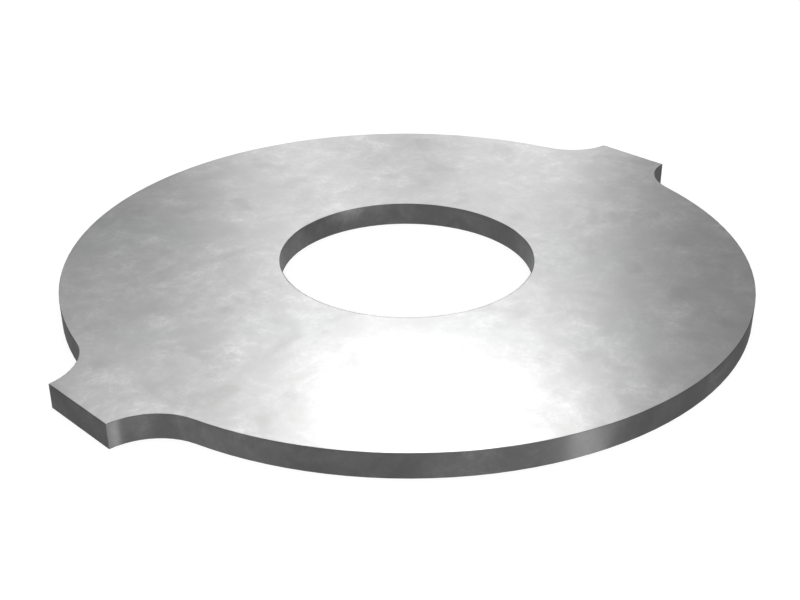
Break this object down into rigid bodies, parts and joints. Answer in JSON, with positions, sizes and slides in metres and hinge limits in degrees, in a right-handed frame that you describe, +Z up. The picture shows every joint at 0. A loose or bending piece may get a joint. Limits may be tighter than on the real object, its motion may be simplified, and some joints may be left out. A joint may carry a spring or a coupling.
{
  "type": "tab washer",
  "caption": "Flat steel washer with a plain central bore and opposed square-ended tabs on its rim, blended in with concave fillets, that keep it from turning.",
  "frame": {"origin": "centre of the bore on the washer's lower face", "axes": "+X along the tabs, +Z up along the bore's axis and out of the upper face, +Y across the ring"},
  "size_m": [0.0428, 0.0382, 0.0014],
  "materials": {
    "steel": "satin, tumbled after blanking"
  },
  "bodies": {
    "root": {"washer": "steel"}
  },
  "joints": []
}
